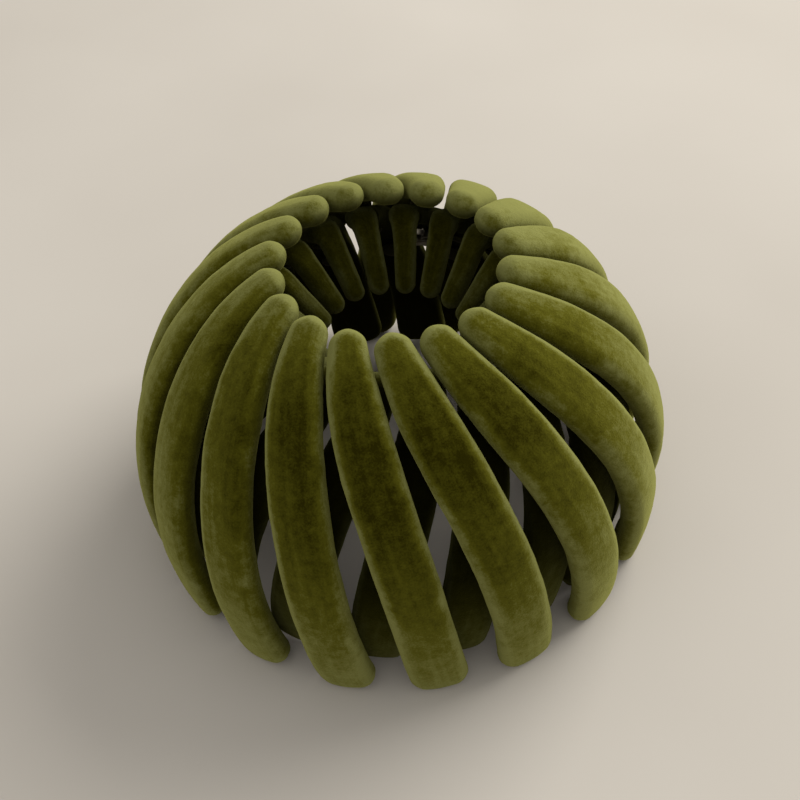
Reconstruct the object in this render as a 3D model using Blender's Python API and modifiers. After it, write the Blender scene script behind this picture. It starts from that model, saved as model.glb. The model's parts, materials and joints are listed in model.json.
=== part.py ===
"""Expandable hair clip: a ring of crossing, flocked plastic slats.

Outer slats lean one way and inner slats the other way, and each pair turns on a
rivet, so the ring spreads like a lattice.  The inner slats curl over at the rim
and end in teeth that grip the hair.  A stud and a swinging latch at the back
close the ring.  Metres, +Z up, ring axis on Z, standing on z = 0.
"""
import math

import bmesh
import bpy
from mathutils import Matrix, Vector

MM = 0.001

# Ring layout
UNITS = 18
PITCH = 2.0 * math.pi / UNITS
FIRST_AZIMUTH = math.radians(88.5)

# Dome that the outer slats' middle surface lies on, as two arcs in the (r, z) plane
EQUATOR_RADIUS = 40.2 * MM
EQUATOR_HEIGHT = 13.1 * MM
UPPER_ARC_RADIUS = 38.5 * MM
UPPER_ARC_SWEEP = math.radians(69.3)
LOWER_ARC_RADIUS = 50.7 * MM
LOWER_ARC_SWEEP = math.radians(15.8)
RIM = UPPER_ARC_RADIUS * UPPER_ARC_SWEEP
FOOT = -LOWER_ARC_RADIUS * LOWER_ARC_SWEEP

# Lean of a slat: azimuth in degrees as a cubic of its place along the slat
SLAT_SPAN = 60.3 * MM
LEAN = (23.7, -26.8, 22.0)
PIVOT = RIM - 0.5 * SLAT_SPAN
CROSSING = RIM - 0.2025 * SLAT_SPAN

# Slat sections
OUTER_THICKNESS = 4.2 * MM
INNER_THICKNESS = 3.2 * MM
LAYER_GAP = 0.8 * MM
INNER_LAYER = -(0.5 * OUTER_THICKNESS + LAYER_GAP + 0.5 * INNER_THICKNESS)
OUTER_WIDTHS = (4.4 * MM, 8.2 * MM, 8.8 * MM)
INNER_WIDTHS = (5.0 * MM, 7.8 * MM, 9.6 * MM)
TAPER_LENGTH = 0.35 * SLAT_SPAN
EDGE_BEVEL = 1.1 * MM
TIP_ROUNDING = 2.6 * MM
FOOT_ROUNDING = 3.6 * MM
INNER_FOOT = FOOT + 1.2 * MM

# Tooth at the top of an inner slat: a bend just below the rim, then a straight prong
INNER_RIM = RIM - 0.125 * SLAT_SPAN
BEND_RADIUS = 2.0 * MM
BEND_SWEEP = math.radians(85.0)
BEND = BEND_RADIUS * BEND_SWEEP
TOOTH_LENGTH = 10.2 * MM
TOOTH_WIDTHS = (3.8 * MM, 2.9 * MM)
TOOTH_ROUNDING = 1.2 * MM
TOOTH_LEAN_BACK = 0.3

# Rivets and pegs
SHANK_RADIUS = 1.1 * MM
SHANK_HOLE_RADIUS = 1.2 * MM
SOCKET_DEPTH = 2.0 * MM
SOCKET_PLAY = 0.06 * MM
HEAD_RADIUS = 2.2 * MM
HEAD_THICKNESS = 1.0 * MM
HEAD_GAP = 0.6 * MM
PEG_RADIUS = 1.1 * MM
PEG_HOLE_RADIUS = 1.8 * MM
ROUND_SIDES = 12
CUT_INWARDS = -14.0 * MM
CUT_OUTWARDS = 4.0 * MM
OUTER_FACE_IN = -0.5 * OUTER_THICKNESS
INNER_FACE_IN = INNER_LAYER - 0.5 * INNER_THICKNESS

# Clasp
LATCH_REACH = 6.0 * MM
LATCH_THICKNESS = 1.0 * MM
LATCH_GAP = 0.9 * MM
LATCH_WALL = 1.2 * MM
LATCH_HOOK_RADIUS = 1.9 * MM
LATCH_MOUTH = (-2.3 * MM, 1.6 * MM)
STUD_NECK = LATCH_GAP + LATCH_THICKNESS + 0.5 * MM
PIN_RADIUS = 0.8 * MM
PIN_HOLE_RADIUS = 0.9 * MM
PIN_DEPTH = 1.8 * MM

# Colours (linear), roughness and metallic
OUTER_FLOCK = ((0.105, 0.125, 0.022), 0.95, 0.0)
INNER_FLOCK = ((0.080, 0.097, 0.018), 0.95, 0.0)
RIVET_PLASTIC = ((0.045, 0.055, 0.014), 0.55, 0.0)
CLASP_METAL = ((0.42, 0.38, 0.30), 0.35, 1.0)


def clear_scene():
    for item in list(bpy.data.objects):
        bpy.data.objects.remove(item, do_unlink=True)


def new_collection(name):
    collection = bpy.data.collections.new(name)
    bpy.context.scene.collection.children.link(collection)
    return collection


def principled(name, finish):
    colour, roughness, metallic = finish
    material = bpy.data.materials.new(name)
    material.use_nodes = True
    shader = material.node_tree.nodes["Principled BSDF"]
    shader.inputs["Base Color"].default_value = (*colour, 1.0)
    shader.inputs["Roughness"].default_value = roughness
    shader.inputs["Metallic"].default_value = metallic
    material.diffuse_color = (*colour, 1.0)
    return material


def arc_point(centre_r, centre_z, radius, angle, layer):
    """Point and outward normal, in the (r, z) plane, on an arc offset by layer."""
    reach = radius + layer
    point = (centre_r + reach * math.cos(angle), centre_z + reach * math.sin(angle))
    return point, (math.cos(angle), math.sin(angle))


def dome(place, layer):
    """Dome profile at a distance along it, measured from the equator, up positive."""
    arc_radius = UPPER_ARC_RADIUS if place > 0.0 else LOWER_ARC_RADIUS
    centre_r = EQUATOR_RADIUS - arc_radius
    return arc_point(centre_r, EQUATOR_HEIGHT, arc_radius, place / arc_radius, layer)


def inner_profile(place, layer):
    """Inner slats follow the dome, then bend over and run inwards and down as a tooth."""
    if place <= INNER_RIM:
        return dome(place, INNER_LAYER + layer)
    (rim_r, rim_z), (normal_r, normal_z) = dome(INNER_RIM, INNER_LAYER)
    centre_r = rim_r - BEND_RADIUS * normal_r
    centre_z = rim_z - BEND_RADIUS * normal_z
    past_rim = place - INNER_RIM
    turned = min(past_rim / BEND_RADIUS, BEND_SWEEP)
    angle = INNER_RIM / UPPER_ARC_RADIUS + turned
    point, normal = arc_point(centre_r, centre_z, BEND_RADIUS, angle, layer)
    straight = max(0.0, past_rim - BEND)
    along = (-normal[1], normal[0])
    return (point[0] + straight * along[0], point[1] + straight * along[1]), normal


def lean(place):
    """Azimuth of an outer slat's middle line against its unit, in radians."""
    share = (RIM - place) / SLAT_SPAN - 0.5
    degrees = sum(factor * share ** (power + 1) for power, factor in enumerate(LEAN))
    return math.radians(degrees)


def inner_lean(place):
    """Same for an inner slat before it is mirrored; its tooth leans back a little."""
    if place <= INNER_RIM:
        return lean(place)
    return lean(INNER_RIM - TOOTH_LEAN_BACK * (place - INNER_RIM))


def slat_lean(profile, place):
    return inner_lean(place) if profile is inner_profile else lean(place)


def on_ring(flat_point, azimuth):
    r, z = flat_point
    return Vector((r * math.cos(azimuth), r * math.sin(azimuth), z))


def slat_slope(profile, place):
    """Sideways run of an outer slat per metre along it."""
    step = 0.1 * MM
    (r, _), _ = profile(place, 0.0)
    return r * (slat_lean(profile, place + step) - slat_lean(profile, place - step)) / (2.0 * step)


def slat_point(profile, side, place, across):
    """Point of a slat's middle surface; side is +1 for the outer lean, -1 for its mirror."""
    (r, _), _ = profile(place, 0.0)
    slope = slat_slope(profile, place)
    length = math.hypot(1.0, slope)
    point, _ = profile(place - across * slope / length, 0.0)
    return on_ring(point, side * (slat_lean(profile, place) + across / (length * r)))


def crossing_frame(profile, side, place):
    """Matrix with its origin on the slat and +Z along the outward normal."""
    point, (normal_r, normal_z) = profile(place, 0.0)
    azimuth = side * lean(place)
    out = on_ring((normal_r, normal_z), azimuth)
    up = on_ring((-normal_z, normal_r), azimuth)
    right = up.cross(out)
    frame = Matrix((right, up, out)).transposed().to_4x4()
    frame.translation = on_ring(point, azimuth)
    return frame


def latch_frame():
    """Axis of the latch's pin: square to the inner slat halfway between pin and stud."""
    middle = CROSSING - 0.5 * LATCH_REACH
    slant = math.atan(slat_slope(inner_profile, middle))
    frame = crossing_frame(dome, -1, middle) @ Matrix.Rotation(slant, 4, "Z")
    return frame @ Matrix.Translation((0.0, -0.5 * LATCH_REACH, 0.0))


def body_width(from_rim, widths):
    """Width at a distance below a slat's rim: a taper at the top, a slight swell below."""
    tip_width, middle_width, foot_width = widths
    taper = min(1.0, from_rim / TAPER_LENGTH)
    swell = max(0.0, (from_rim - TAPER_LENGTH) / (SLAT_SPAN - TAPER_LENGTH))
    rise = (middle_width - tip_width) * (1.0 - (1.0 - taper) ** 2)
    return tip_width + rise + (foot_width - middle_width) * min(1.0, swell)


def outer_width(place):
    return body_width(RIM - place, OUTER_WIDTHS)


def inner_width(place):
    if place <= INNER_RIM:
        return body_width(INNER_RIM - place, INNER_WIDTHS)
    past_rim = place - INNER_RIM
    root_width, tip_width = TOOTH_WIDTHS
    if past_rim < BEND:
        return INNER_WIDTHS[0] + (root_width - INNER_WIDTHS[0]) * past_rim / BEND
    return root_width + (tip_width - root_width) * (past_rim - BEND) / TOOTH_LENGTH


def round_end(from_end, rounding, half_width):
    """Half width left near a rounded end, at a distance from that end."""
    if from_end >= rounding:
        return half_width
    corner = rounding - math.sqrt(max(0.0, rounding ** 2 - (rounding - from_end) ** 2))
    return half_width - min(corner, 0.78 * half_width)


def slat_rows(low, high, low_rounding, high_rounding, count):
    """Places along a slat: close together in the rounded ends, even between them."""
    low_end = [low, low + 0.3 * low_rounding]
    high_end = [high - 0.3 * high_rounding, high]
    start = low + low_rounding
    step = (high - high_rounding - start) / (count - 1)
    return low_end + [start + step * index for index in range(count)] + high_end


def slat_blank(name, profile, width, side, rows, ends, thickness):
    """One slat as a strip on the dome, thickened and with its edges rounded."""
    mesh = bpy.data.meshes.new(name)
    strip = bmesh.new()
    bmesh.ops.create_grid(strip, x_segments=1, y_segments=len(rows) - 1, size=0.5)
    (low, low_rounding), (high, high_rounding) = ends
    for vertex in strip.verts:
        place = rows[round((vertex.co.y + 0.5) * (len(rows) - 1))]
        half = 0.5 * width(place)
        half = round_end(place - low, low_rounding, half)
        half = round_end(high - place, high_rounding, half)
        across = math.copysign(half, vertex.co.x)
        vertex.co = slat_point(profile, side, place, across)
    bmesh.ops.recalc_face_normals(strip, faces=strip.faces)
    strip.to_mesh(mesh)
    strip.free()
    blank = bpy.data.objects.new(name, mesh)
    bpy.context.scene.collection.objects.link(blank)
    shell = blank.modifiers.new("thickness", "SOLIDIFY")
    shell.thickness = thickness
    shell.offset = 0.0
    shell.use_even_offset = True
    edges = blank.modifiers.new("rounded_edges", "BEVEL")
    edges.width = EDGE_BEVEL
    edges.segments = 1
    edges.limit_method = "ANGLE"
    edges.angle_limit = math.radians(50.0)
    return blank


def cylinder(name, frame, radius, low, high):
    """Cylinder along the frame's Z, from low to high."""
    mesh = bpy.data.meshes.new(name)
    tube = bmesh.new()
    bmesh.ops.create_cone(
        tube, cap_ends=True, segments=ROUND_SIDES, radius1=radius, radius2=radius, depth=high - low)
    bmesh.ops.translate(tube, verts=tube.verts, vec=(0.0, 0.0, 0.5 * (low + high)))
    tube.to_mesh(mesh)
    tube.free()
    item = bpy.data.objects.new(name, mesh)
    item.matrix_world = frame
    bpy.context.scene.collection.objects.link(item)
    return item


def box(name, frame, low, high):
    """Box between two corners of a frame."""
    mesh = bpy.data.meshes.new(name)
    block = bmesh.new()
    bmesh.ops.create_cube(block, size=1.0)
    size = [b - a for a, b in zip(low, high)]
    middle = [0.5 * (a + b) for a, b in zip(low, high)]
    bmesh.ops.scale(block, verts=block.verts, vec=size)
    bmesh.ops.translate(block, verts=block.verts, vec=middle)
    block.to_mesh(mesh)
    block.free()
    item = bpy.data.objects.new(name, mesh)
    item.matrix_world = frame
    bpy.context.scene.collection.objects.link(item)
    return item


def headed_pin(name, frame, profile_points):
    """Turned pin: (radius, height) points from the top of its axis down its outside."""
    mesh = bpy.data.meshes.new(name)
    outline = bmesh.new()
    points = [outline.verts.new((radius, 0.0, height)) for radius, height in profile_points]
    for upper, lower in zip(points, points[1:]):
        outline.edges.new((upper, lower))
    outline.to_mesh(mesh)
    outline.free()
    item = bpy.data.objects.new(name, mesh)
    item.matrix_world = frame
    bpy.context.scene.collection.objects.link(item)
    turn = item.modifiers.new("turned", "SCREW")
    turn.axis = "Z"
    turn.angle = 2.0 * math.pi
    turn.steps = ROUND_SIDES
    turn.render_steps = ROUND_SIDES
    turn.use_merge_vertices = True
    turn.merge_threshold = 0.01 * MM
    return item


def combine(item, operation, tools):
    for tool in tools:
        cut = item.modifiers.new(tool.name, "BOOLEAN")
        cut.operation = operation
        cut.object = tool


def baked(item, origin_frame, tools=()):
    """Evaluated mesh of an item, moved so that origin_frame is its origin."""
    bpy.context.view_layer.update()
    evaluated = item.evaluated_get(bpy.context.evaluated_depsgraph_get())
    mesh = bpy.data.meshes.new_from_object(evaluated)
    mesh.transform(origin_frame.inverted() @ item.matrix_world)
    for used in (item, *tools):
        bpy.data.objects.remove(used, do_unlink=True)
    return mesh


def pin_head(inner_face, shank_radius, head_gap, tip):
    """Outline of a domed head below inner_face with its shank rising to tip."""
    under = inner_face - head_gap
    return [
        (0.0, tip),
        (shank_radius, tip),
        (shank_radius, under),
        (HEAD_RADIUS, under),
        (0.65 * HEAD_RADIUS, under - HEAD_THICKNESS),
        (0.0, under - HEAD_THICKNESS),
    ]


def outer_slat_mesh(pivot, has_peg):
    """Outer slat with a rivet socket, and a headed peg (or a stud socket) at its crossing."""
    ends = ((FOOT, FOOT_ROUNDING), (RIM, TIP_ROUNDING))
    rows = slat_rows(FOOT, RIM, FOOT_ROUNDING, TIP_ROUNDING, 8)
    slat = slat_blank("outer_blank", dome, outer_width, 1, rows, ends, OUTER_THICKNESS)
    pivot_frame = crossing_frame(dome, 1, PIVOT)
    peg_frame = crossing_frame(dome, 1, CROSSING)
    socket_top = OUTER_FACE_IN + SOCKET_DEPTH
    socket = cylinder("rivet_socket", pivot_frame, SHANK_HOLE_RADIUS, CUT_INWARDS, socket_top)
    ground = box("ground", Matrix(), (0.0, -0.1, -0.1), (0.1, 0.1, 0.0))
    cutters = [socket, ground]
    pegs = []
    if has_peg:
        outline = pin_head(INNER_FACE_IN, PEG_RADIUS, HEAD_GAP, 0.2 * OUTER_THICKNESS)
        pegs.append(headed_pin("peg", peg_frame, outline))
    else:
        stud_radius = PEG_RADIUS + SOCKET_PLAY
        cutters.append(cylinder("stud_socket", peg_frame, stud_radius, CUT_INWARDS, socket_top))
    combine(slat, "UNION", pegs)
    combine(slat, "DIFFERENCE", cutters)
    return baked(slat, pivot, cutters + pegs)


def inner_slat_mesh(pivot, has_notch):
    """Inner slat with its tooth, a rivet hole, and a peg hole (or the clasp's notch)."""
    tooth_end = INNER_RIM + BEND + TOOTH_LENGTH
    ends = ((INNER_FOOT, FOOT_ROUNDING), (tooth_end, TOOTH_ROUNDING))
    body = slat_rows(INNER_FOOT, INNER_RIM, FOOT_ROUNDING, 0.0, 7)[:-2]
    bend = [INNER_RIM + BEND * share for share in (0.33, 0.67, 1.0)]
    tip = [tooth_end - TOOTH_ROUNDING, tooth_end - 0.3 * TOOTH_ROUNDING, tooth_end]
    rows = body + bend + tip
    slat = slat_blank("inner_blank", inner_profile, inner_width, -1, rows, ends, INNER_THICKNESS)
    pivot_frame = crossing_frame(dome, -1, PIVOT)
    hole_frame = crossing_frame(dome, -1, CROSSING)
    cutters = [
        cylinder("rivet_hole", pivot_frame, SHANK_HOLE_RADIUS, CUT_INWARDS, CUT_OUTWARDS),
        cylinder("peg_hole", hole_frame, PEG_HOLE_RADIUS, CUT_INWARDS, CUT_OUTWARDS),
    ]
    if has_notch:
        low = (0.0, -PEG_HOLE_RADIUS, CUT_INWARDS)
        high = (10.0 * MM, PEG_HOLE_RADIUS, CUT_OUTWARDS)
        cutters.append(box("notch", hole_frame, low, high))
        pin_top = INNER_FACE_IN + PIN_DEPTH + 0.2 * MM
        cutters.append(cylinder("pin_hole", latch_frame(), PIN_HOLE_RADIUS, CUT_INWARDS, pin_top))
    combine(slat, "DIFFERENCE", cutters)
    return baked(slat, pivot, cutters)


def latch_mesh(pin_frame, stud_frame):
    """Flat hook: an eye on the pin, an arm, and a ring around the stud open on one side."""
    low = INNER_FACE_IN - LATCH_GAP - LATCH_THICKNESS
    high = low + LATCH_THICKNESS
    stud_axis = pin_frame.inverted() @ stud_frame
    neck = stud_axis @ Vector((0.0, 0.0, INNER_FACE_IN - 0.5 * STUD_NECK))
    reach = math.hypot(neck.x, neck.y)
    arm_frame = pin_frame @ Matrix.Rotation(math.atan2(-neck.x, neck.y), 4, "Z")
    hook_frame = arm_frame @ Matrix.Translation((0.0, reach, 0.0))
    outside = LATCH_HOOK_RADIUS + LATCH_WALL
    eye_radius = PIN_HOLE_RADIUS + LATCH_WALL
    latch = cylinder("latch_eye", pin_frame, eye_radius, low, high)
    hook = cylinder("latch_hook", hook_frame, outside, low, high)
    arm = box("latch_arm", arm_frame, (-LATCH_WALL, 0.0, low), (LATCH_WALL, reach, high))
    combine(latch, "UNION", [arm, hook])
    past = 1.0 * MM
    pin_hole = cylinder("latch_pin_hole", pin_frame, PIN_HOLE_RADIUS, low - past, high + past)
    stud_hole = cylinder("latch_stud_hole", hook_frame, LATCH_HOOK_RADIUS, low - past, high + past)
    mouth_low = (-2.0 * outside, LATCH_MOUTH[0], low - past)
    mouth = box("latch_mouth", hook_frame, mouth_low, (0.0, LATCH_MOUTH[1], high + past))
    cutters = [pin_hole, stud_hole, mouth]
    combine(latch, "DIFFERENCE", cutters)
    return baked(latch, pin_frame, [arm, hook] + cutters)


def clasp_stud_mesh(frame):
    under = INNER_FACE_IN - STUD_NECK
    outline = pin_head(under, PEG_RADIUS, 0.0, OUTER_FACE_IN + SOCKET_DEPTH - 0.1 * MM)
    return baked(headed_pin("stud", frame, outline), frame)


def clasp_pin_mesh(frame):
    under = INNER_FACE_IN - LATCH_GAP - LATCH_THICKNESS
    outline = pin_head(under, PIN_RADIUS, 0.2 * MM, INNER_FACE_IN + PIN_DEPTH)
    return baked(headed_pin("pin", frame, outline), frame)


def place_part(collection, name, mesh, frame, parent, finish):
    """Named part whose origin is the frame's origin, held by its unit's empty."""
    part = bpy.data.objects.new(name, mesh)
    collection.objects.link(part)
    part.parent = parent
    part.matrix_local = frame
    if not mesh.materials:
        mesh.materials.append(None)
    part.material_slots[0].link = "OBJECT"
    part.material_slots[0].material = principled(name, finish)
    for face in mesh.polygons:
        face.use_smooth = False
    return part


def build():
    clear_scene()
    ring = new_collection("expandable_hair_clip")
    pivot = crossing_frame(dome, 1, PIVOT)
    stud_frame = crossing_frame(dome, 1, CROSSING)
    pin_frame = latch_frame()
    outer_mesh = outer_slat_mesh(pivot, True)
    outer_end_mesh = outer_slat_mesh(pivot, False)
    inner_mesh = inner_slat_mesh(pivot, False)
    inner_end_mesh = inner_slat_mesh(pivot, True)
    rivet_tip = OUTER_FACE_IN + SOCKET_DEPTH - 0.1 * MM
    rivet_outline = pin_head(INNER_FACE_IN, SHANK_RADIUS, HEAD_GAP, rivet_tip)
    rivet_mesh = baked(headed_pin("rivet", pivot, rivet_outline), pivot)
    for index in range(UNITS):
        number = f"{index + 1:02d}"
        unit = bpy.data.objects.new(f"unit_{number}", None)
        unit.empty_display_size = 5.0 * MM
        unit.rotation_euler = (0.0, 0.0, FIRST_AZIMUTH + index * PITCH)
        ring.objects.link(unit)
        outer = outer_end_mesh if index == 0 else outer_mesh
        inner = inner_end_mesh if index == UNITS - 1 else inner_mesh
        place_part(ring, f"outer_slat_{number}", outer, pivot, unit, OUTER_FLOCK)
        place_part(ring, f"inner_slat_{number}", inner, pivot, unit, INNER_FLOCK)
        place_part(ring, f"pivot_rivet_{number}", rivet_mesh, pivot, unit, RIVET_PLASTIC)
        if index == 0:
            stud = clasp_stud_mesh(stud_frame)
            place_part(ring, "clasp_stud", stud, stud_frame, unit, CLASP_METAL)
        if index == UNITS - 1:
            latch = latch_mesh(pin_frame, crossing_frame(dome, -1, CROSSING))
            place_part(ring, "clasp_latch", latch, pin_frame, unit, CLASP_METAL)
            pin = clasp_pin_mesh(pin_frame)
            place_part(ring, "clasp_pin", pin, pin_frame, unit, CLASP_METAL)


build()
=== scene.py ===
"""Looks of the expandable hair clip: flocked slats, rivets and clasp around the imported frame."""
import json
import math

import bmesh
import bpy
import numpy as np
from mathutils import Matrix, Vector, noise

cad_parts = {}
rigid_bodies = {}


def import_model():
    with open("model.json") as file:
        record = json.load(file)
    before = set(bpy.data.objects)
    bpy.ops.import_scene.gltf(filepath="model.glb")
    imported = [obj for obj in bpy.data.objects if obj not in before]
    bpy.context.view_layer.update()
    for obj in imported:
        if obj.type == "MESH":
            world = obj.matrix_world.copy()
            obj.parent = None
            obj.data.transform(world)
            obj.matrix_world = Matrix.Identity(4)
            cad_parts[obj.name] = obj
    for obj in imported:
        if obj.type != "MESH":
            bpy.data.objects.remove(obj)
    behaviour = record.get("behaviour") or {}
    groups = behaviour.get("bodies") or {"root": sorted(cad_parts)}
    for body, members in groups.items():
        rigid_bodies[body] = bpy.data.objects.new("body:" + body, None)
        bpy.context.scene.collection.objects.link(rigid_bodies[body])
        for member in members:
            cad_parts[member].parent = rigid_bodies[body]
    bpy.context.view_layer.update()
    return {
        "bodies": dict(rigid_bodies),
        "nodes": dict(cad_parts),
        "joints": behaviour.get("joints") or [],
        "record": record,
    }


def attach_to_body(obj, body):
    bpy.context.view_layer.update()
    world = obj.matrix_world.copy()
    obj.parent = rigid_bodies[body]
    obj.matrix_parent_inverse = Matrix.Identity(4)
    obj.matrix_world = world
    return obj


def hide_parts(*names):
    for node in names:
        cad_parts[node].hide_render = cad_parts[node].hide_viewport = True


MM = 0.001

# The dome the slats follow, as in the CAD: two arcs in the (r, z) plane
EQUATOR_RADIUS = 40.2 * MM
EQUATOR_HEIGHT = 13.1 * MM
UPPER_RADIUS = 38.5 * MM
UPPER_SWEEP = math.radians(69.3)
LOWER_RADIUS = 50.7 * MM
RIM = UPPER_RADIUS * UPPER_SWEEP
SLAT_SPAN = 60.3 * MM
LEAN = (23.7, -26.8, 22.0)
PIVOT = RIM - 0.5 * SLAT_SPAN
CROSSING = RIM - 0.2025 * SLAT_SPAN

# Slat sections
OUTER_THICKNESS = 4.2 * MM
INNER_THICKNESS = 3.2 * MM
LAYER_GAP = 0.8 * MM
INNER_LAYER = -(0.5 * OUTER_THICKNESS + LAYER_GAP + 0.5 * INNER_THICKNESS)
OUTER_WIDTHS = (4.4 * MM, 8.2 * MM, 8.8 * MM)
INNER_WIDTHS = (5.0 * MM, 7.8 * MM, 9.6 * MM)
TAPER_LENGTH = 0.35 * SLAT_SPAN
OUTER_FOOT = -13.4 * MM
INNER_FOOT = -12.8 * MM

# Tooth at the top of an inner slat
INNER_RIM = RIM - 0.125 * SLAT_SPAN
BEND_RADIUS = 2.0 * MM
BEND_SWEEP = math.radians(85.0)
BEND = BEND_RADIUS * BEND_SWEEP
TOOTH_LENGTH = 10.2 * MM
TOOTH_WIDTHS = (3.8 * MM, 2.9 * MM)
TOOTH_LEAN_BACK = 0.3
TOOTH_END = INNER_RIM + BEND + TOOTH_LENGTH

# Rivets and pegs with their heads on the inner face; the edge and chamfer are shares of a radius
HEAD_RADIUS = 2.2 * MM
HEAD_GAP = 0.6 * MM
HEAD_THICKNESS = 1.0 * MM
HEAD_EDGE = 0.07
SHANK_RADIUS = 1.1 * MM
SHANK_CHAMFER = 0.15
SHANK_SEAT = 0.5 * MM
OUTER_FACE_IN = -0.5 * OUTER_THICKNESS
INNER_FACE_IN = INNER_LAYER - 0.5 * INNER_THICKNESS

# Clasp, between the stud on one unit's outer slat and the pin on another's inner slat
STUD_UNIT = "01"
PIN_BODY = "inner_18"
LATCH_THICKNESS = 1.0 * MM
LATCH_GAP = 0.9 * MM
LATCH_WALL = 1.2 * MM
LATCH_HOOK_RADIUS = 1.9 * MM
LATCH_MOUTH = (-2.3 * MM, 1.6 * MM)
LATCH_BEVEL = 0.18 * MM
LATCH_EASING = (0.18 * MM, 8)
STUD_NECK = LATCH_GAP + LATCH_THICKNESS + 0.5 * MM
PIN_RADIUS = 0.8 * MM
PIN_HOLE_RADIUS = 0.9 * MM
PIN_DEPTH = 1.8 * MM
PIN_HEAD_GAP = 0.2 * MM

# Fineness and finish of the meshes, with arcs in degrees
CORNER_POINTS = 7
FACE_POINTS = 6
SIDE_POINTS = 1
END_STATIONS = 9
BODY_STEP = 0.8 * MM
TURNED_STEPS = 40
ARC_STEP = 6.0
PIN_HOLE_END = 351.0
MERGE_DISTANCE = 0.002 * MM
FLAT_FACE = 0.99

# Limits that keep a section open: a corner's largest share of the half size, the largest
# share of the half width that an end's rounding takes, the least half thickness, and how
# far round an end the first section sits
FULLEST_CORNER = 0.97
MOST_ROUNDING = 0.8
LEAST_THICKNESS = 0.1 * MM
FIRST_STATION = 0.12

# How much of a slat's inner edges and of its ends counts as a ridge of parted pile
INWARD_RIDGE = 0.3
END_RIDGE = 1.0

# Unevenness of the flock: how wide its swells are in mm, and how deep
SLOW_SWELL = (6.5, 0.10 * MM)
QUICK_SWELL = (1.7, 0.045 * MM)
SEED_STEP = Vector((17.3, 5.1, 9.7))
INNER_SEED = 40
LOWEST_FLOCK = 0.03 * MM


# ---------------------------------------------------------------- slat geometry

def dome(place, layer):
    """(r, z) and the outward normal of the dome, offset by layer."""
    radius = np.where(place > 0.0, UPPER_RADIUS, LOWER_RADIUS)
    angle = place / radius
    across, up = np.cos(angle), np.sin(angle)
    r = EQUATOR_RADIUS - radius + (radius + layer) * across
    return r, EQUATOR_HEIGHT + (radius + layer) * up, across, up


def inner_profile(place, layer):
    """The dome up to the bend below the rim, then the bend and the straight tooth."""
    rim_r, rim_z, rim_across, rim_up = dome(np.minimum(place, INNER_RIM), INNER_LAYER)
    past = np.maximum(0.0, place - INNER_RIM)
    turned = np.minimum(past / BEND_RADIUS, BEND_SWEEP)
    start = np.minimum(place, INNER_RIM) / np.where(place > 0.0, UPPER_RADIUS, LOWER_RADIUS)
    across, up = np.cos(start + turned), np.sin(start + turned)
    straight = np.maximum(0.0, past - BEND)
    r = rim_r + BEND_RADIUS * (across - rim_across) - straight * up + layer * across
    z = rim_z + BEND_RADIUS * (up - rim_up) + straight * across + layer * up
    return r, z, across, up


def outer_lean(place):
    share = (RIM - place) / SLAT_SPAN - 0.5
    return np.radians(LEAN[0] * share + LEAN[1] * share ** 2 + LEAN[2] * share ** 3)


def inner_lean(place):
    back = INNER_RIM - TOOTH_LEAN_BACK * (place - INNER_RIM)
    return outer_lean(np.where(place > INNER_RIM, back, place))


def body_width(from_rim, widths):
    taper = np.clip(from_rim / TAPER_LENGTH, 0.0, 1.0)
    swell = np.clip((from_rim - TAPER_LENGTH) / (SLAT_SPAN - TAPER_LENGTH), 0.0, 1.0)
    rise = (widths[1] - widths[0]) * (1.0 - (1.0 - taper) ** 2)
    return widths[0] + rise + (widths[2] - widths[1]) * swell


def outer_width(place):
    return body_width(RIM - place, OUTER_WIDTHS)


def inner_width(place):
    bend_share = np.clip((place - INNER_RIM) / BEND, 0.0, 1.0)
    tooth_share = np.clip((place - INNER_RIM - BEND) / TOOTH_LENGTH, 0.0, 1.0)
    width = body_width(INNER_RIM - place, INNER_WIDTHS)
    width = width + (TOOTH_WIDTHS[0] - INNER_WIDTHS[0]) * bend_share
    return width + (TOOTH_WIDTHS[1] - TOOTH_WIDTHS[0]) * tooth_share


OUTER = {
    "side": 1, "profile": dome, "lean": outer_lean, "width": outer_width,
    "thickness": OUTER_THICKNESS, "low": OUTER_FOOT, "high": RIM,
    "plan_rounding": (3.4 * MM, 2.3 * MM), "edge_rounding": (1.9 * MM, 2.1 * MM),
    "corner": 1.75 * MM, "crown": 0.16,
}
INNER = {
    "side": -1, "profile": inner_profile, "lean": inner_lean, "width": inner_width,
    "thickness": INNER_THICKNESS, "low": INNER_FOOT, "high": TOOTH_END,
    "plan_rounding": (3.2 * MM, 1.45 * MM), "edge_rounding": (1.5 * MM, 1.45 * MM),
    "corner": 1.2 * MM, "crown": 0.1,
}


def section(half_width, half_thickness, corner, crown):
    """Rounded rectangle with a slight crown: across, out and how sharply it turns at each point."""
    radius = min(corner, FULLEST_CORNER * half_width, FULLEST_CORNER * half_thickness)
    flat, wall = half_width - radius, half_thickness - radius
    across, out, turning = [], [], []
    centres = ((flat, wall), (-flat, wall), (-flat, -wall), (flat, -wall))
    between = (FACE_POINTS, SIDE_POINTS, FACE_POINTS, SIDE_POINTS)
    for quarter, (x, y) in enumerate(centres):
        for step in range(CORNER_POINTS):
            share = step / (CORNER_POINTS - 1)
            angle = 0.5 * math.pi * (quarter + share)
            across.append(x + radius * math.cos(angle))
            out.append(y + radius * math.sin(angle))
            turning.append(math.sin(math.pi * share) * (1.0 if quarter < 2 else INWARD_RIDGE))
        x2, y2 = centres[(quarter + 1) % 4]
        end = 0.5 * math.pi * (quarter + 1)
        for step in range(1, between[quarter] + 1):
            share = step / (between[quarter] + 1)
            across.append(x + (x2 - x) * share + radius * math.cos(end))
            out.append(y + (y2 - y) * share + radius * math.sin(end))
            turning.append(0.0)
    across, out = np.array(across), np.array(out)
    out *= 1.0 - crown * (across / half_width) ** 2
    return across, out, np.array(turning)


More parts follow.
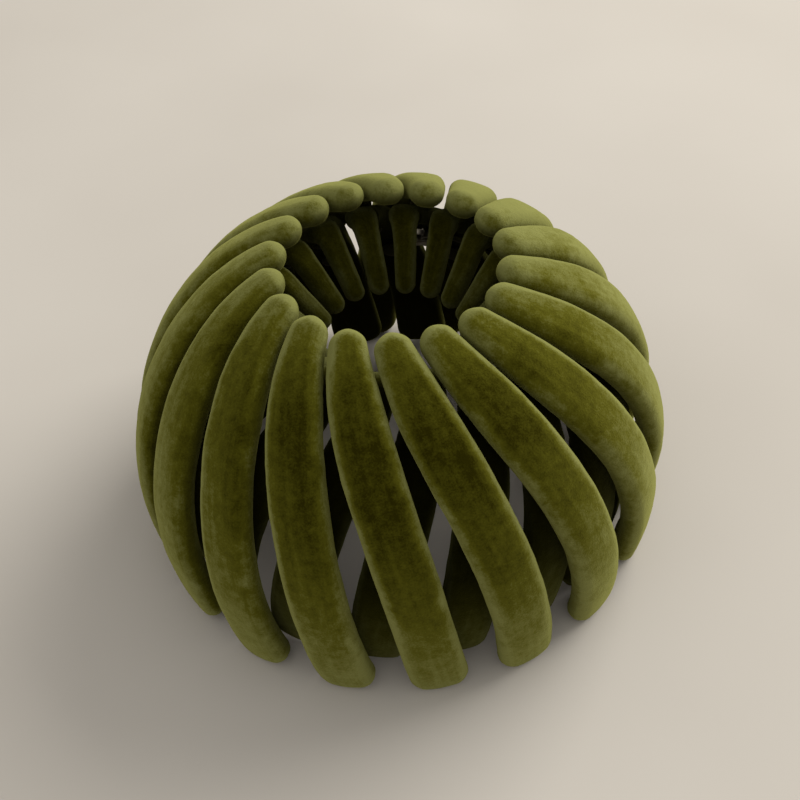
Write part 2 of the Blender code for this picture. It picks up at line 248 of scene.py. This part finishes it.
def slat_stations(low, high, plan_rounding):
    """Places along a slat: quarter-circle spacing in its rounded ends, even between."""
    turn = np.linspace(FIRST_STATION, 1.0, END_STATIONS) * 0.5 * math.pi
    foot = low + plan_rounding[0] * (1.0 - np.cos(turn))
    tip = high - plan_rounding[1] * (1.0 - np.cos(turn))
    count = int(round((tip[-1] - foot[-1]) / BODY_STEP))
    return np.concatenate([foot, np.linspace(foot[-1], tip[-1], count)[1:-1], tip[::-1]])


def rounded(distance, radius):
    """0 at an end, 1 at a radius from it, along a quarter circle."""
    share = np.clip(1.0 - distance / radius, 0.0, 1.0)
    return np.sqrt(1.0 - share ** 2)


def place_section(kind, place, across, out):
    """Points of one section in the unit's frame, which has the unit at azimuth 0."""
    step = 0.1 * MM
    r_here = kind["profile"](place, 0.0)[0]
    slope = r_here * (kind["lean"](place + step) - kind["lean"](place - step)) / (2.0 * step)
    length = np.hypot(1.0, slope)
    r, z, _, _ = kind["profile"](place - across * slope / length, out)
    azimuth = kind["side"] * (kind["lean"](place) + across / (length * r_here))
    return np.stack([r * np.cos(azimuth), r * np.sin(azimuth), z], axis=-1)


def slat_points(kind):
    """Stations of a slat, each with its ring of points, their (across, out, along) and turning."""
    stations = slat_stations(kind["low"], kind["high"], kind["plan_rounding"])
    foot_corner, tip_corner = kind["plan_rounding"]
    foot_edge, tip_edge = kind["edge_rounding"]
    rings, unrolled, ridges = [], [], []
    for place in stations:
        half = 0.5 * float(kind["width"](place))
        from_foot, from_tip = place - kind["low"], kind["high"] - place
        for distance, corner in ((from_foot, foot_corner), (from_tip, tip_corner)):
            half -= min(corner * (1.0 - rounded(distance, corner)), MOST_ROUNDING * half)
        full = float(rounded(from_foot, foot_edge) * rounded(from_tip, tip_edge))
        thick = max(0.5 * kind["thickness"] * full, LEAST_THICKNESS)
        across, out, turning = section(half, thick, kind["corner"], kind["crown"])
        rings.append(place_section(kind, place, across, out))
        unrolled.append(np.stack([across, out, np.full_like(across, place)], axis=-1))
        end_turning = math.sqrt(1.0 - full ** 2)
        ridges.append(1.0 - (1.0 - turning) * (1.0 - end_turning))
    return np.array(rings), np.array(unrolled), np.array(ridges)


def end_point(kind, place):
    """The point that closes one end of a slat."""
    return place_section(kind, np.array(place), np.zeros(1), np.zeros(1))[0]


def uneven_flock(point, seed):
    """How far the flock stands out or sinks in at a point, in metres."""
    spot = Vector(point) / MM + seed * SEED_STEP
    return sum(depth * noise.noise(spot / size) for size, depth in (SLOW_SWELL, QUICK_SWELL))


def finished(name, shape, frame=None):
    """Object made from a bmesh and linked to the scene; the bmesh is freed."""
    mesh = bpy.data.meshes.new(name)
    shape.to_mesh(mesh)
    shape.free()
    item = bpy.data.objects.new(name, mesh)
    if frame is not None:
        item.matrix_world = frame
    bpy.context.scene.collection.objects.link(item)
    return item


def slat_object(name, kind, azimuth, seed):
    """One flocked slat as a closed mesh, uneven in its own way."""
    rings, unrolled, ridges = slat_points(kind)
    turn = np.array(Matrix.Rotation(azimuth, 3, "Z"))
    count = rings.shape[1]
    shape = bmesh.new()
    ridge = shape.verts.layers.float.new("ridge")
    flat = shape.verts.layers.float_vector.new("unrolled")
    rows = [[shape.verts.new(point) for point in ring @ turn.T] for ring in rings]
    foot_point = shape.verts.new(turn @ end_point(kind, kind["low"]))
    tip_point = shape.verts.new(turn @ end_point(kind, kind["high"]))
    for row, row_flat, row_ridge in zip(rows, unrolled, ridges):
        for vertex, place, turning in zip(row, row_flat, row_ridge):
            vertex[flat] = place
            vertex[ridge] = turning
    for point, place in ((foot_point, kind["low"]), (tip_point, kind["high"])):
        point[ridge] = END_RIDGE
        point[flat] = (0.0, 0.0, place)
    for lower, upper in zip(rows, rows[1:]):
        for index in range(count):
            after = (index + 1) % count
            shape.faces.new((lower[index], lower[after], upper[after], upper[index]))
    for index in range(count):
        after = (index + 1) % count
        shape.faces.new((foot_point, rows[0][after], rows[0][index]))
        shape.faces.new((tip_point, rows[-1][index], rows[-1][after]))
    bmesh.ops.recalc_face_normals(shape, faces=shape.faces)
    shape.normal_update()
    moves = [(vertex, vertex.normal * uneven_flock(vertex.co, seed)) for vertex in shape.verts]
    for vertex, move in moves:
        vertex.co += move
        vertex.co.z = max(vertex.co.z, LOWEST_FLOCK)
    for face in shape.faces:
        face.smooth = True
    return finished(name, shape)


# ---------------------------------------------------------------- turned and flat parts

def turned(name, outline, frame):
    """Solid of revolution about the frame's Z from (radius, height) points."""
    shape = bmesh.new()
    points = [shape.verts.new((radius, 0.0, height)) for radius, height in outline]
    edges = [shape.edges.new(pair) for pair in zip(points, points[1:])]
    bmesh.ops.spin(
        shape, geom=points + edges, cent=(0.0, 0.0, 0.0), axis=(0.0, 0.0, 1.0),
        angle=2.0 * math.pi, steps=TURNED_STEPS, use_merge=True)
    bmesh.ops.remove_doubles(shape, verts=shape.verts, dist=MERGE_DISTANCE)
    bmesh.ops.recalc_face_normals(shape, faces=shape.faces)
    for face in shape.faces:
        face.smooth = True
    return finished(name, shape, frame)


def head_outline(shank_radius, top, under):
    """Shank from top down to a domed head, with a rounded head edge."""
    chamfer = SHANK_CHAMFER * shank_radius
    edge = HEAD_EDGE * HEAD_RADIUS
    rim = HEAD_RADIUS - edge
    outline = [(0.0, top), (shank_radius - chamfer, top), (shank_radius, top - chamfer)]
    outline += [(shank_radius, under), (rim, under)]
    for angle in np.radians((60.0, 30.0, 0.0)):
        outline.append((rim + edge * math.cos(angle), under - edge + edge * math.sin(angle)))
    for angle in np.linspace(0.0, 0.5 * math.pi, 9):
        drop = edge + (HEAD_THICKNESS - edge) * math.sin(angle)
        outline.append((HEAD_RADIUS * math.cos(angle), under - drop))
    return outline


def crossing_frame(place, azimuth):
    """Frame on an outer slat with +Z outwards, +Y up along the dome and +X sideways."""
    r, z, across, up = (float(value) for value in dome(np.array(place), 0.0))
    ring = Matrix.Rotation(azimuth + float(outer_lean(np.array(place))), 4, "Z")
    local = Matrix((
        (0.0, -up, across, r),
        (1.0, 0.0, 0.0, 0.0),
        (0.0, across, up, z),
        (0.0, 0.0, 0.0, 1.0)))
    return ring @ local


def arc(centre_y, radius, start, end):
    """Points along an arc about (0, centre_y), from one angle to another in degrees."""
    count = max(2, int(abs(end - start) / ARC_STEP) + 1)
    angles = np.radians(np.linspace(start, end, count))
    return [(radius * math.cos(angle), centre_y + radius * math.sin(angle)) for angle in angles]


def latch_outline(reach):
    """Outside of the latch, clockwise: an eye at the origin, an arm and a hook open on one side."""
    eye = PIN_HOLE_RADIUS + LATCH_WALL
    hook = LATCH_HOOK_RADIUS + LATCH_WALL
    leave = math.degrees(math.acos(LATCH_WALL / eye))
    meet = math.degrees(math.acos(LATCH_WALL / hook))
    lip_low = 180.0 - math.degrees(math.asin(LATCH_MOUTH[0] / hook))
    lip_high = 180.0 - math.degrees(math.asin(LATCH_MOUTH[1] / hook))
    inside_high = 180.0 - math.degrees(math.asin(LATCH_MOUTH[1] / LATCH_HOOK_RADIUS))
    points = arc(0.0, eye, leave, leave - 180.0 - 2.0 * leave)
    points += arc(reach, hook, 180.0 + meet, lip_low)
    points += [(0.0, reach + LATCH_MOUTH[0])]
    points += arc(reach, LATCH_HOOK_RADIUS, -90.0, inside_high)
    points += arc(reach, hook, lip_high, -meet)
    return points


def softened(points, spacing, passes):
    """A closed outline in even steps, with its corners eased round."""
    closed = np.array(points + points[:1])
    walked = np.concatenate([[0.0], np.cumsum(np.hypot(*np.diff(closed, axis=0).T))])
    places = np.linspace(0.0, walked[-1], int(walked[-1] / spacing), endpoint=False)
    loop = np.stack([np.interp(places, walked, column) for column in closed.T], axis=1)
    for _ in range(passes):
        loop = 0.5 * loop + 0.25 * (np.roll(loop, 1, axis=0) + np.roll(loop, -1, axis=0))
    return [tuple(point) for point in loop]


def flat_plate(name, loops, low, high, frame):
    """Flat plate with bevelled edges; the first loop is its outside and the rest are holes."""
    curve = bpy.data.curves.new(name, "CURVE")
    curve.dimensions = "2D"
    curve.fill_mode = "BOTH"
    curve.extrude = 0.5 * (high - low) - LATCH_BEVEL
    curve.bevel_depth = LATCH_BEVEL
    curve.bevel_resolution = 3
    curve.offset = -LATCH_BEVEL
    for loop in loops:
        spline = curve.splines.new("POLY")
        spline.points.add(len(loop) - 1)
        for point, (x, y) in zip(spline.points, loop):
            point.co = (x, y, 0.0, 1.0)
        spline.use_cyclic_u = True
    outline = bpy.data.objects.new(name + "_outline", curve)
    bpy.context.scene.collection.objects.link(outline)
    bpy.context.view_layer.update()
    evaluated = outline.evaluated_get(bpy.context.evaluated_depsgraph_get())
    mesh = bpy.data.meshes.new_from_object(evaluated)
    bpy.data.objects.remove(outline, do_unlink=True)
    shape = bmesh.new()
    shape.from_mesh(mesh)
    bpy.data.meshes.remove(mesh)
    bmesh.ops.translate(shape, verts=shape.verts, vec=(0.0, 0.0, 0.5 * (low + high)))
    bmesh.ops.remove_doubles(shape, verts=shape.verts, dist=MERGE_DISTANCE)
    bmesh.ops.recalc_face_normals(shape, faces=shape.faces)
    for face in shape.faces:
        face.smooth = abs(face.normal.z) < FLAT_FACE
    return finished(name, shape, frame)


# ---------------------------------------------------------------- materials

class Nodes:
    """Short helpers over a material's node tree."""

    def __init__(self, name):
        self.material = bpy.data.materials.new(name)
        self.material.use_nodes = True
        self.tree = self.material.node_tree
        self.shader = self.tree.nodes["Principled BSDF"]

    def add(self, kind, **values):
        node = self.tree.nodes.new(kind)
        for key, value in values.items():
            setattr(node, key, value)
        return node

    def join(self, source, target):
        self.tree.links.new(source, target)

    def noise(self, vector, scale, detail, roughness):
        node = self.add("ShaderNodeTexNoise")
        node.inputs["Scale"].default_value = scale
        node.inputs["Detail"].default_value = detail
        node.inputs["Roughness"].default_value = roughness
        self.join(vector, node.inputs["Vector"])
        return node.outputs["Fac"]

    def ramp(self, value, stops):
        node = self.add("ShaderNodeValToRGB")
        ramp = node.color_ramp
        while len(ramp.elements) < len(stops):
            ramp.elements.new(0.5)
        for element, (position, colour) in zip(ramp.elements, stops):
            element.position = position
            element.color = (*colour, 1.0)
        self.join(value, node.inputs["Fac"])
        return node.outputs["Color"]

    def range(self, value, low, high, to_low=0.0, to_high=1.0):
        node = self.add("ShaderNodeMapRange")
        node.inputs["From Min"].default_value = low
        node.inputs["From Max"].default_value = high
        node.inputs["To Min"].default_value = to_low
        node.inputs["To Max"].default_value = to_high
        self.join(value, node.inputs["Value"])
        return node.outputs["Result"]

    def math(self, operation, first, second):
        node = self.add("ShaderNodeMath", operation=operation)
        for index, value in enumerate((first, second)):
            if isinstance(value, (int, float)):
                node.inputs[index].default_value = value
            else:
                self.join(value, node.inputs[index])
        return node.outputs["Value"]

    def mix(self, factor, first, second):
        """Mix of two colours, each a socket or a plain colour; the factor is a socket."""
        node = self.add("ShaderNodeMix", data_type="RGBA")
        factor_input, first_input, second_input = (node.inputs[index] for index in (0, 6, 7))
        self.join(factor, factor_input)
        for target, value in ((first_input, first), (second_input, second)):
            if isinstance(value, tuple):
                target.default_value = (*value, 1.0)
            else:
                self.join(value, target)
        return node.outputs[2]

    def bump(self, height, distance, strength, normal=None):
        node = self.add("ShaderNodeBump")
        node.inputs["Strength"].default_value = strength
        node.inputs["Distance"].default_value = distance
        self.join(height, node.inputs["Height"])
        if normal is not None:
            self.join(normal, node.inputs["Normal"])
        return node.outputs["Normal"]


# Colours of the pile by tone, from dark seen end on to pale where it parts or, as a painted
# sheen, at grazing angles; and painted shade where it faces inwards or lies under the other slats
PILE_TONES = (
    (0.0, (0.020, 0.0174, 0.0003)),
    (0.52, (0.076, 0.0725, 0.0056)),
    (1.0, (0.168, 0.170, 0.052)),
)
# Painted shade on the inward faces of a slat, across the span INWARD_SIDE
SHADED_PILE = (0.020, 0.018, 0.0008)
# Painted shade where other slats lie close over the pile, between COVER_START and COVER_END
COVERED_SHADE = (0.003, 0.003, 0.0003)
INWARD_SIDE = (-1.6 * MM, 0.4 * MM)
COVER_START = (-9.0 * MM, 8.0 * MM)
COVER_END = (INNER_RIM + BEND, INNER_RIM - 3.0 * MM)

# Noise scales per metre; the streaks run along a slat
STREAK_SCALE = (900.0, 900.0, 55.0)
NAP_SCALE = 210.0
PATCH_SCALE = 800.0
PILE_SCALE = 3600.0

# Tone: shares of nap, patches and streaks, then what each influence adds; the paler tone
# at the foot and along the last stretch to the tip is a painted highlight
MOTTLE_SHARES = (0.30, 0.36, 0.34)
MOTTLE_TONE = (-0.06, 0.32)
SPECKLE_TONE = (-0.11, 0.11)
PARTED_TONE = (0.16, 0.36)
FOOT_HIGHLIGHT = 0.06
TIP_HIGHLIGHT_LENGTH = 11.0 * MM
FOOT_HIGHLIGHT_LENGTH = 5.0 * MM

SHEEN_TINT = (0.66, 0.65, 0.18)
SHEEN_WEIGHT = 0.30
SHEEN_ROUGHNESS = 0.45
PILE_BUMP = (0.10 * MM, 0.8)
PATCH_BUMP = (0.20 * MM, 0.5)

# Darker and paler colour of the rivets' plastic and of the clasp's plating
PLASTIC_COLOURS = ((0.026, 0.024, 0.003), (0.044, 0.041, 0.006))
METAL_COLOURS = ((0.26, 0.22, 0.15), (0.50, 0.46, 0.38))


def flock_material(name, depth, tip_highlight, shade_under_slats):
    """Short velvet pile: dark seen end on, pale where it parts over an edge or an end.

    Depth scales its colours, and a depth below 1 makes a darkened copy that is painted shade;
    tip_highlight is a painted highlight on the tips, and covered is how much painted shade darkens
    the pile where other slats lie close over it. The paleness at grazing angles is a painted sheen.
    """
    n = Nodes(name)
    place = n.add("ShaderNodeTexCoord").outputs["Object"]
    unrolled = n.add("ShaderNodeAttribute", attribute_name="unrolled").outputs["Vector"]
    stretch = n.add("ShaderNodeMapping")
    stretch.inputs["Scale"].default_value = STREAK_SCALE
    n.join(unrolled, stretch.inputs["Vector"])
    streaks = n.noise(stretch.outputs["Vector"], 1.0, 3.0, 0.6)
    nap = n.noise(place, NAP_SCALE, 3.0, 0.6)
    patches = n.noise(place, PATCH_SCALE, 3.0, 0.6)
    pile = n.noise(place, PILE_SCALE, 2.0, 0.7)
    # Painted sheen: the base colour turns paler as the surface is seen at a grazing angle
    facing = n.add("ShaderNodeLayerWeight")
    facing.inputs["Blend"].default_value = 0.5
    grazing_sheen = n.range(facing.outputs["Facing"], 0.05, 0.95)
    weighted = [
        n.math("MULTIPLY", value, share)
        for value, share in zip((nap, patches, streaks), MOTTLE_SHARES)]
    mottle = n.math("ADD", n.math("ADD", weighted[0], weighted[1]), weighted[2])
    mottle = n.range(mottle, 0.38, 0.62, *MOTTLE_TONE)
    speckle = n.range(pile, 0.3, 0.7, *SPECKLE_TONE)
    ridge = n.add("ShaderNodeAttribute", attribute_name="ridge").outputs["Fac"]
    parted = n.math("MULTIPLY", ridge, n.range(nap, 0.35, 0.65, *PARTED_TONE))
    split = n.add("ShaderNodeSeparateXYZ")
    n.join(unrolled, split.inputs["Vector"])
    along = split.outputs["Z"]
    # Painted highlight: the tone rises towards the tip and towards the foot
    at_tip = n.range(along, RIM - TIP_HIGHLIGHT_LENGTH, RIM, 0.0, tip_highlight)
    foot_highlight_end = OUTER_FOOT + FOOT_HIGHLIGHT_LENGTH
    at_foot = n.range(along, foot_highlight_end, OUTER_FOOT, 0.0, FOOT_HIGHLIGHT)
    tone = n.math("ADD", n.math("ADD", grazing_sheen, mottle), n.math("ADD", speckle, parted))
    tone = n.math("ADD", tone, n.math("ADD", at_tip, at_foot))
    colour = n.ramp(tone, [
        (stop, tuple(depth * value for value in shade)) for stop, shade in PILE_TONES])
    # Painted shade: darker towards the inward faces of a slat
    open_side = n.range(split.outputs["Y"], *INWARD_SIDE)
    colour = n.mix(open_side, SHADED_PILE, colour)
    # Painted shade: darker where other slats lie close over the pile
    cover_shade = n.math("MULTIPLY", n.range(along, *COVER_START), n.range(along, *COVER_END))
    cover_shade = n.math("MULTIPLY", cover_shade, shade_under_slats)
    n.join(n.mix(cover_shade, colour, COVERED_SHADE), n.shader.inputs["Base Color"])
    n.shader.inputs["Roughness"].default_value = 1.0
    n.shader.inputs["Specular IOR Level"].default_value = 0.0
    n.shader.inputs["Sheen Weight"].default_value = SHEEN_WEIGHT * depth
    n.shader.inputs["Sheen Roughness"].default_value = SHEEN_ROUGHNESS
    n.shader.inputs["Sheen Tint"].default_value = (*SHEEN_TINT, 1.0)
    rough = n.bump(pile, *PILE_BUMP)
    n.join(n.bump(patches, *PATCH_BUMP, rough), n.shader.inputs["Normal"])
    return n.material


def plastic_material():
    """Moulded rivet plastic with fine moulding texture and faint scuffs."""
    n = Nodes("rivet_plastic")
    place = n.add("ShaderNodeTexCoord").outputs["Object"]
    grain = n.noise(place, 3800.0, 3.0, 0.6)
    cloud = n.noise(place, 420.0, 3.0, 0.6)
    colour = n.mix(n.range(cloud, 0.3, 0.7), *PLASTIC_COLOURS)
    n.join(colour, n.shader.inputs["Base Color"])
    n.join(n.range(cloud, 0.3, 0.7, 0.60, 0.80), n.shader.inputs["Roughness"])
    n.shader.inputs["Specular IOR Level"].default_value = 0.12
    n.join(n.bump(grain, 0.03 * MM, 0.5), n.shader.inputs["Normal"])
    return n.material


def metal_material():
    """Dull antique plating: brushed, and darker or worn paler in patches."""
    n = Nodes("clasp_metal")
    place = n.add("ShaderNodeTexCoord").outputs["Object"]
    stretch = n.add("ShaderNodeMapping")
    stretch.inputs["Scale"].default_value = (1.0, 9.0, 1.0)
    n.join(place, stretch.inputs["Vector"])
    brushed = n.noise(stretch.outputs["Vector"], 1900.0, 3.0, 0.6)
    wear = n.noise(place, 700.0, 4.0, 0.6)
    colour = n.mix(n.range(wear, 0.35, 0.65), *METAL_COLOURS)
    n.join(colour, n.shader.inputs["Base Color"])
    n.shader.inputs["Metallic"].default_value = 1.0
    n.join(n.range(brushed, 0.3, 0.7, 0.28, 0.5), n.shader.inputs["Roughness"])
    n.join(n.bump(brushed, 0.01 * MM, 0.5), n.shader.inputs["Normal"])
    return n.material


# ---------------------------------------------------------------- the clip

def unit_azimuths(frame):
    """Azimuth of every unit, read from the joints that its outer slats lean on."""
    found = {}
    for joint in frame["joints"]:
        if joint["child"].startswith("outer_"):
            x, y, _ = joint["pos_m"]
            found[joint["child"][-2:]] = math.atan2(y, x)
    return found


def attach(item, body, material, node=None):
    """Give a piece its material and its body, and the CAD node that it stands for."""
    item.data.materials.append(material)
    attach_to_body(item, body)
    if node is not None:
        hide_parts(node)


def build_unit(number, azimuth, materials):
    """One outer slat, its inner slat, their rivet and, where there is no stud, the peg."""
    seed = int(number)
    for layer, kind, layer_seed in (("outer", OUTER, seed), ("inner", INNER, seed + INNER_SEED)):
        slat = slat_object(f"flocked_{layer}_{number}", kind, azimuth, layer_seed)
        flock = f"{layer}_flock"
        attach(slat, f"{layer}_{number}", materials[flock], f"{layer}_slat_{number}")
    plastic = materials["rivet_plastic"]
    outline = head_outline(SHANK_RADIUS, OUTER_FACE_IN + SHANK_SEAT, INNER_FACE_IN - HEAD_GAP)
    rivet = turned(f"rivet_{number}", outline, crossing_frame(PIVOT, azimuth))
    attach(rivet, f"unit_{number}", plastic, f"pivot_rivet_{number}")
    if number != STUD_UNIT:
        peg = turned(f"peg_{number}", outline, crossing_frame(CROSSING, azimuth))
        attach(peg, f"outer_{number}", plastic)


def latch_frame(frame, stud_place):
    """The latch's eye, with +Y towards the stud, and how far away the stud is."""
    hinge = next(joint for joint in frame["joints"] if joint["child"] == "latch")
    out = -Vector(hinge["axis"])
    eye = Vector(hinge["pos_m"])
    neck = stud_place @ Vector((0.0, 0.0, INNER_FACE_IN - 0.5 * STUD_NECK))
    along = neck - eye
    along -= along.dot(out) * out
    arm = along.normalized()
    place = Matrix((arm.cross(out), arm, out)).transposed().to_4x4()
    place.translation = eye
    return place, along.length


def build_clasp(frame, azimuths, materials):
    """Stud, latch and pin; the latch turns on the pin and hooks round the stud."""
    metal = materials["clasp_metal"]
    stud_place = crossing_frame(CROSSING, azimuths[STUD_UNIT])
    stud_top = OUTER_FACE_IN + SHANK_SEAT
    outline = head_outline(SHANK_RADIUS, stud_top, INNER_FACE_IN - STUD_NECK)
    stud = turned("turned_stud", outline, stud_place)
    attach(stud, f"outer_{STUD_UNIT}", metal, "clasp_stud")
    eye_place, reach = latch_frame(frame, stud_place)
    low = INNER_FACE_IN - LATCH_GAP - LATCH_THICKNESS
    hole = arc(0.0, PIN_HOLE_RADIUS, 0.0, PIN_HOLE_END)
    loops = (softened(latch_outline(reach), *LATCH_EASING), hole)
    latch = flat_plate("latch_plate", loops, low, low + LATCH_THICKNESS, eye_place)
    attach(latch, "latch", metal, "clasp_latch")
    outline = head_outline(PIN_RADIUS, INNER_FACE_IN + PIN_DEPTH, low - PIN_HEAD_GAP)
    pin = turned("turned_pin", outline, eye_place)
    attach(pin, PIN_BODY, metal, "clasp_pin")


def build_clip(frame):
    """All 18 units and the clasp."""
    materials = {
        "outer_flock": flock_material("olive_flock", 1.0, 0.40, 0.0),
        # Same flock at half depth: a darkened copy that is painted shade, with painted shade also
        # where the outer slats lie over it
        "inner_flock": flock_material("olive_flock_inside", 0.5, 0.22, 0.8),
        "rivet_plastic": plastic_material(),
        "clasp_metal": metal_material(),
    }
    azimuths = unit_azimuths(frame)
    for number, azimuth in sorted(azimuths.items()):
        build_unit(number, azimuth, materials)
    build_clasp(frame, azimuths, materials)


# ---------------------------------------------------------------- floor, lights, camera

FLOOR_SIZE = 16.0
FLOOR_COLOURS = ((0.50, 0.462, 0.403), (0.54, 0.502, 0.441))
SKY_COLOUR = (1.0, 0.985, 0.975, 1.0)
SKY_STRENGTH = 0.67
WINDOW_COLOUR = (1.0, 0.985, 0.96)
WINDOW_PLACE = Vector((0.74, 0.60, 0.57))
WINDOW_AIM = Vector((0.0, 0.0, 0.03))
WINDOW_SIZE = 0.9
WINDOW_WATTS = 16.0
CAMERA_ELEVATION = math.radians(46.5)
CAMERA_DISTANCE = 0.1861
CAMERA_ROLL = math.radians(-3.13)
CAMERA_LENS = 52.5
CAMERA_TARGET = Vector((0.00036, 0.0, 0.02024))


def build_floor():
    """Wide plain floor, which is staging and not part of the clip."""
    plane = bmesh.new()
    bmesh.ops.create_grid(plane, x_segments=1, y_segments=1, size=0.5 * FLOOR_SIZE)
    floor = finished("floor", plane)
    n = Nodes("pale_floor")
    place = n.add("ShaderNodeTexCoord").outputs["Object"]
    cloud = n.noise(place, 9.0, 3.0, 0.5)
    colour = n.mix(n.range(cloud, 0.35, 0.65), *FLOOR_COLOURS)
    n.join(colour, n.shader.inputs["Base Color"])
    n.shader.inputs["Roughness"].default_value = 0.9
    n.shader.inputs["Specular IOR Level"].default_value = 0.1
    floor.data.materials.append(n.material)


def build_lights():
    """Even light from all round, and one large soft window behind on the right."""
    world = bpy.data.worlds.new("studio")
    world.use_nodes = True
    background = world.node_tree.nodes["Background"]
    background.inputs["Color"].default_value = SKY_COLOUR
    background.inputs["Strength"].default_value = SKY_STRENGTH
    bpy.context.scene.world = world
    data = bpy.data.lights.new("window", "AREA")
    data.shape = "SQUARE"
    data.size = WINDOW_SIZE
    data.energy = WINDOW_WATTS
    data.color = WINDOW_COLOUR
    light = bpy.data.objects.new("window", data)
    light.location = WINDOW_PLACE
    light.rotation_euler = (WINDOW_AIM - WINDOW_PLACE).to_track_quat("-Z", "Y").to_euler()
    bpy.context.scene.collection.objects.link(light)


def build_camera():
    """Camera in front of the clip, looking down on it, slightly rolled."""
    data = bpy.data.cameras.new("camera")
    data.lens = CAMERA_LENS
    data.clip_start = 0.01
    camera = bpy.data.objects.new("camera", data)
    back = Vector((0.0, -math.cos(CAMERA_ELEVATION), math.sin(CAMERA_ELEVATION)))
    right = Vector((1.0, 0.0, 0.0))
    turn = Matrix((right, back.cross(right), back)).transposed()
    camera.matrix_world = (
        Matrix.Translation(CAMERA_TARGET + CAMERA_DISTANCE * back)
        @ turn.to_4x4()
        @ Matrix.Rotation(CAMERA_ROLL, 4, "Z"))
    bpy.context.scene.collection.objects.link(camera)
    bpy.context.scene.camera = camera


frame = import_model()
build_clip(frame)
build_floor()
build_lights()
build_camera()
bpy.context.scene.view_settings.view_transform = "Standard"
